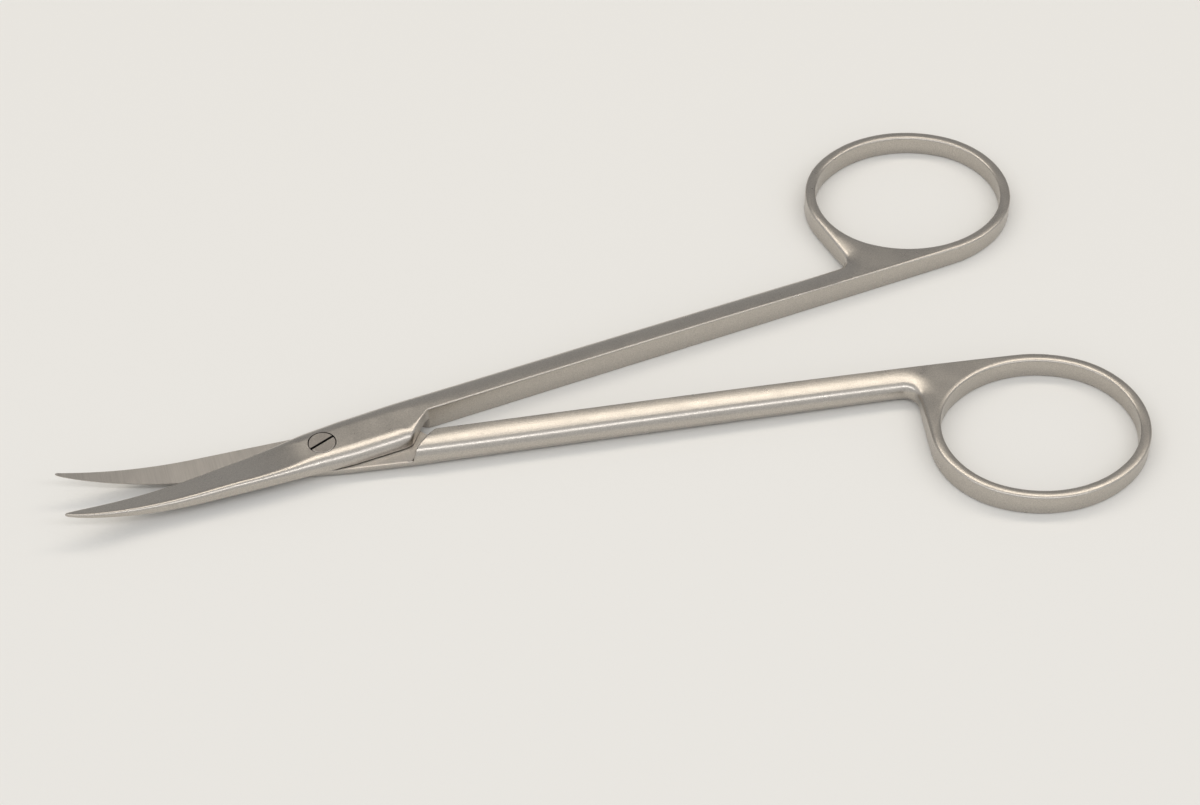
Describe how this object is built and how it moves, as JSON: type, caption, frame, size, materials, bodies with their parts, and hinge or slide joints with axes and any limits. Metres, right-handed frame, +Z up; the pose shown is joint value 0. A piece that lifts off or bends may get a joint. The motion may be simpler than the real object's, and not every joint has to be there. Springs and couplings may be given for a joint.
{
  "type": "dissecting scissors",
  "caption": "Slender surgical scissors with upward curved blades, a flush slotted pivot screw, straight half-round shanks and oval finger rings.",
  "frame": {"origin": "on the pivot axis, level with the underside that the scissors lie on", "axes": "+X towards the finger rings, midway between the two shanks; +Y towards the ring of the upper half; +Z up along the pivot axis, the way the tips curve"},
  "size_m": [0.1243, 0.0654, 0.0045],
  "materials": {
    "satin_steel": "satin, bead blasted",
    "screw_steel": "satin"
  },
  "bodies": {
    "lower": {"lower_half": "satin_steel", "pivot_screw": "screw_steel"},
    "upper": {"upper_half": "satin_steel"}
  },
  "joints": [
    {"name": "pivot_hinge", "type": "hinge", "parent": "lower", "child": "upper", "pos_m": [0, 0, 0], "axis": [0, 0, 1], "range_deg": [-13.1, 106.8]}
  ]
}
